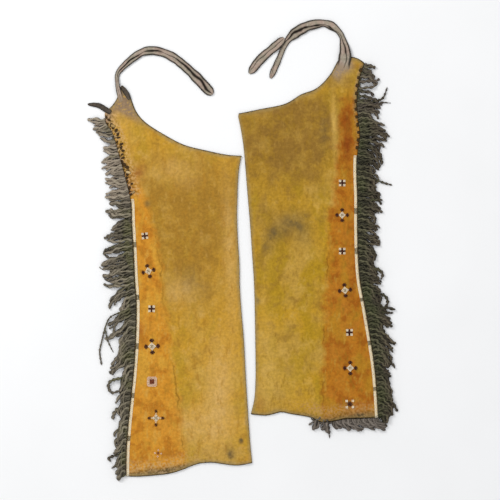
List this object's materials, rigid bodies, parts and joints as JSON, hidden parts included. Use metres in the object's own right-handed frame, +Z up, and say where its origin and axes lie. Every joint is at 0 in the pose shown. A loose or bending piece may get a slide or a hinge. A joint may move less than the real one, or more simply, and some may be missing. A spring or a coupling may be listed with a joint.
{
  "type": "leather chaps",
  "caption": "Pair of painted hide leggings with side fringe, a bead lane and a hide tie at each hip, laid flat side by side.",
  "frame": {"origin": "middle of the pair's footprint, on the surface that it lies on", "axes": "+X to the right across both legs, +Y up the legs from hem to hip, +Z up out of the surface"},
  "size_m": [0.7854, 1.1635, 0.0092],
  "materials": {
    "painted_hide": "soft tanned hide rubbed with yellow and orange earth paint, dry and matt, with stains",
    "bare_hide": "soft tanned hide, matt, lightly stained with yellow paint",
    "fringe_hide": "twisted hide thongs, dark olive brown, dry and matt",
    "tie_hide": "rolled grey tan hide, worn and creased",
    "beads": "opaque cream glass beads with a few dark ones"
  },
  "bodies": {
    "root": {"left_front_panel": "painted_hide", "left_back_panel": "bare_hide", "left_bead_lane": "beads", "left_fringe": "fringe_hide", "left_tie": "tie_hide", "right_front_panel": "painted_hide", "right_back_panel": "bare_hide", "right_bead_lane": "beads", "right_fringe": "fringe_hide", "right_hem_fringe": "fringe_hide", "right_tie": "tie_hide", "right_tie_tail": "tie_hide"}
  },
  "joints": []
}
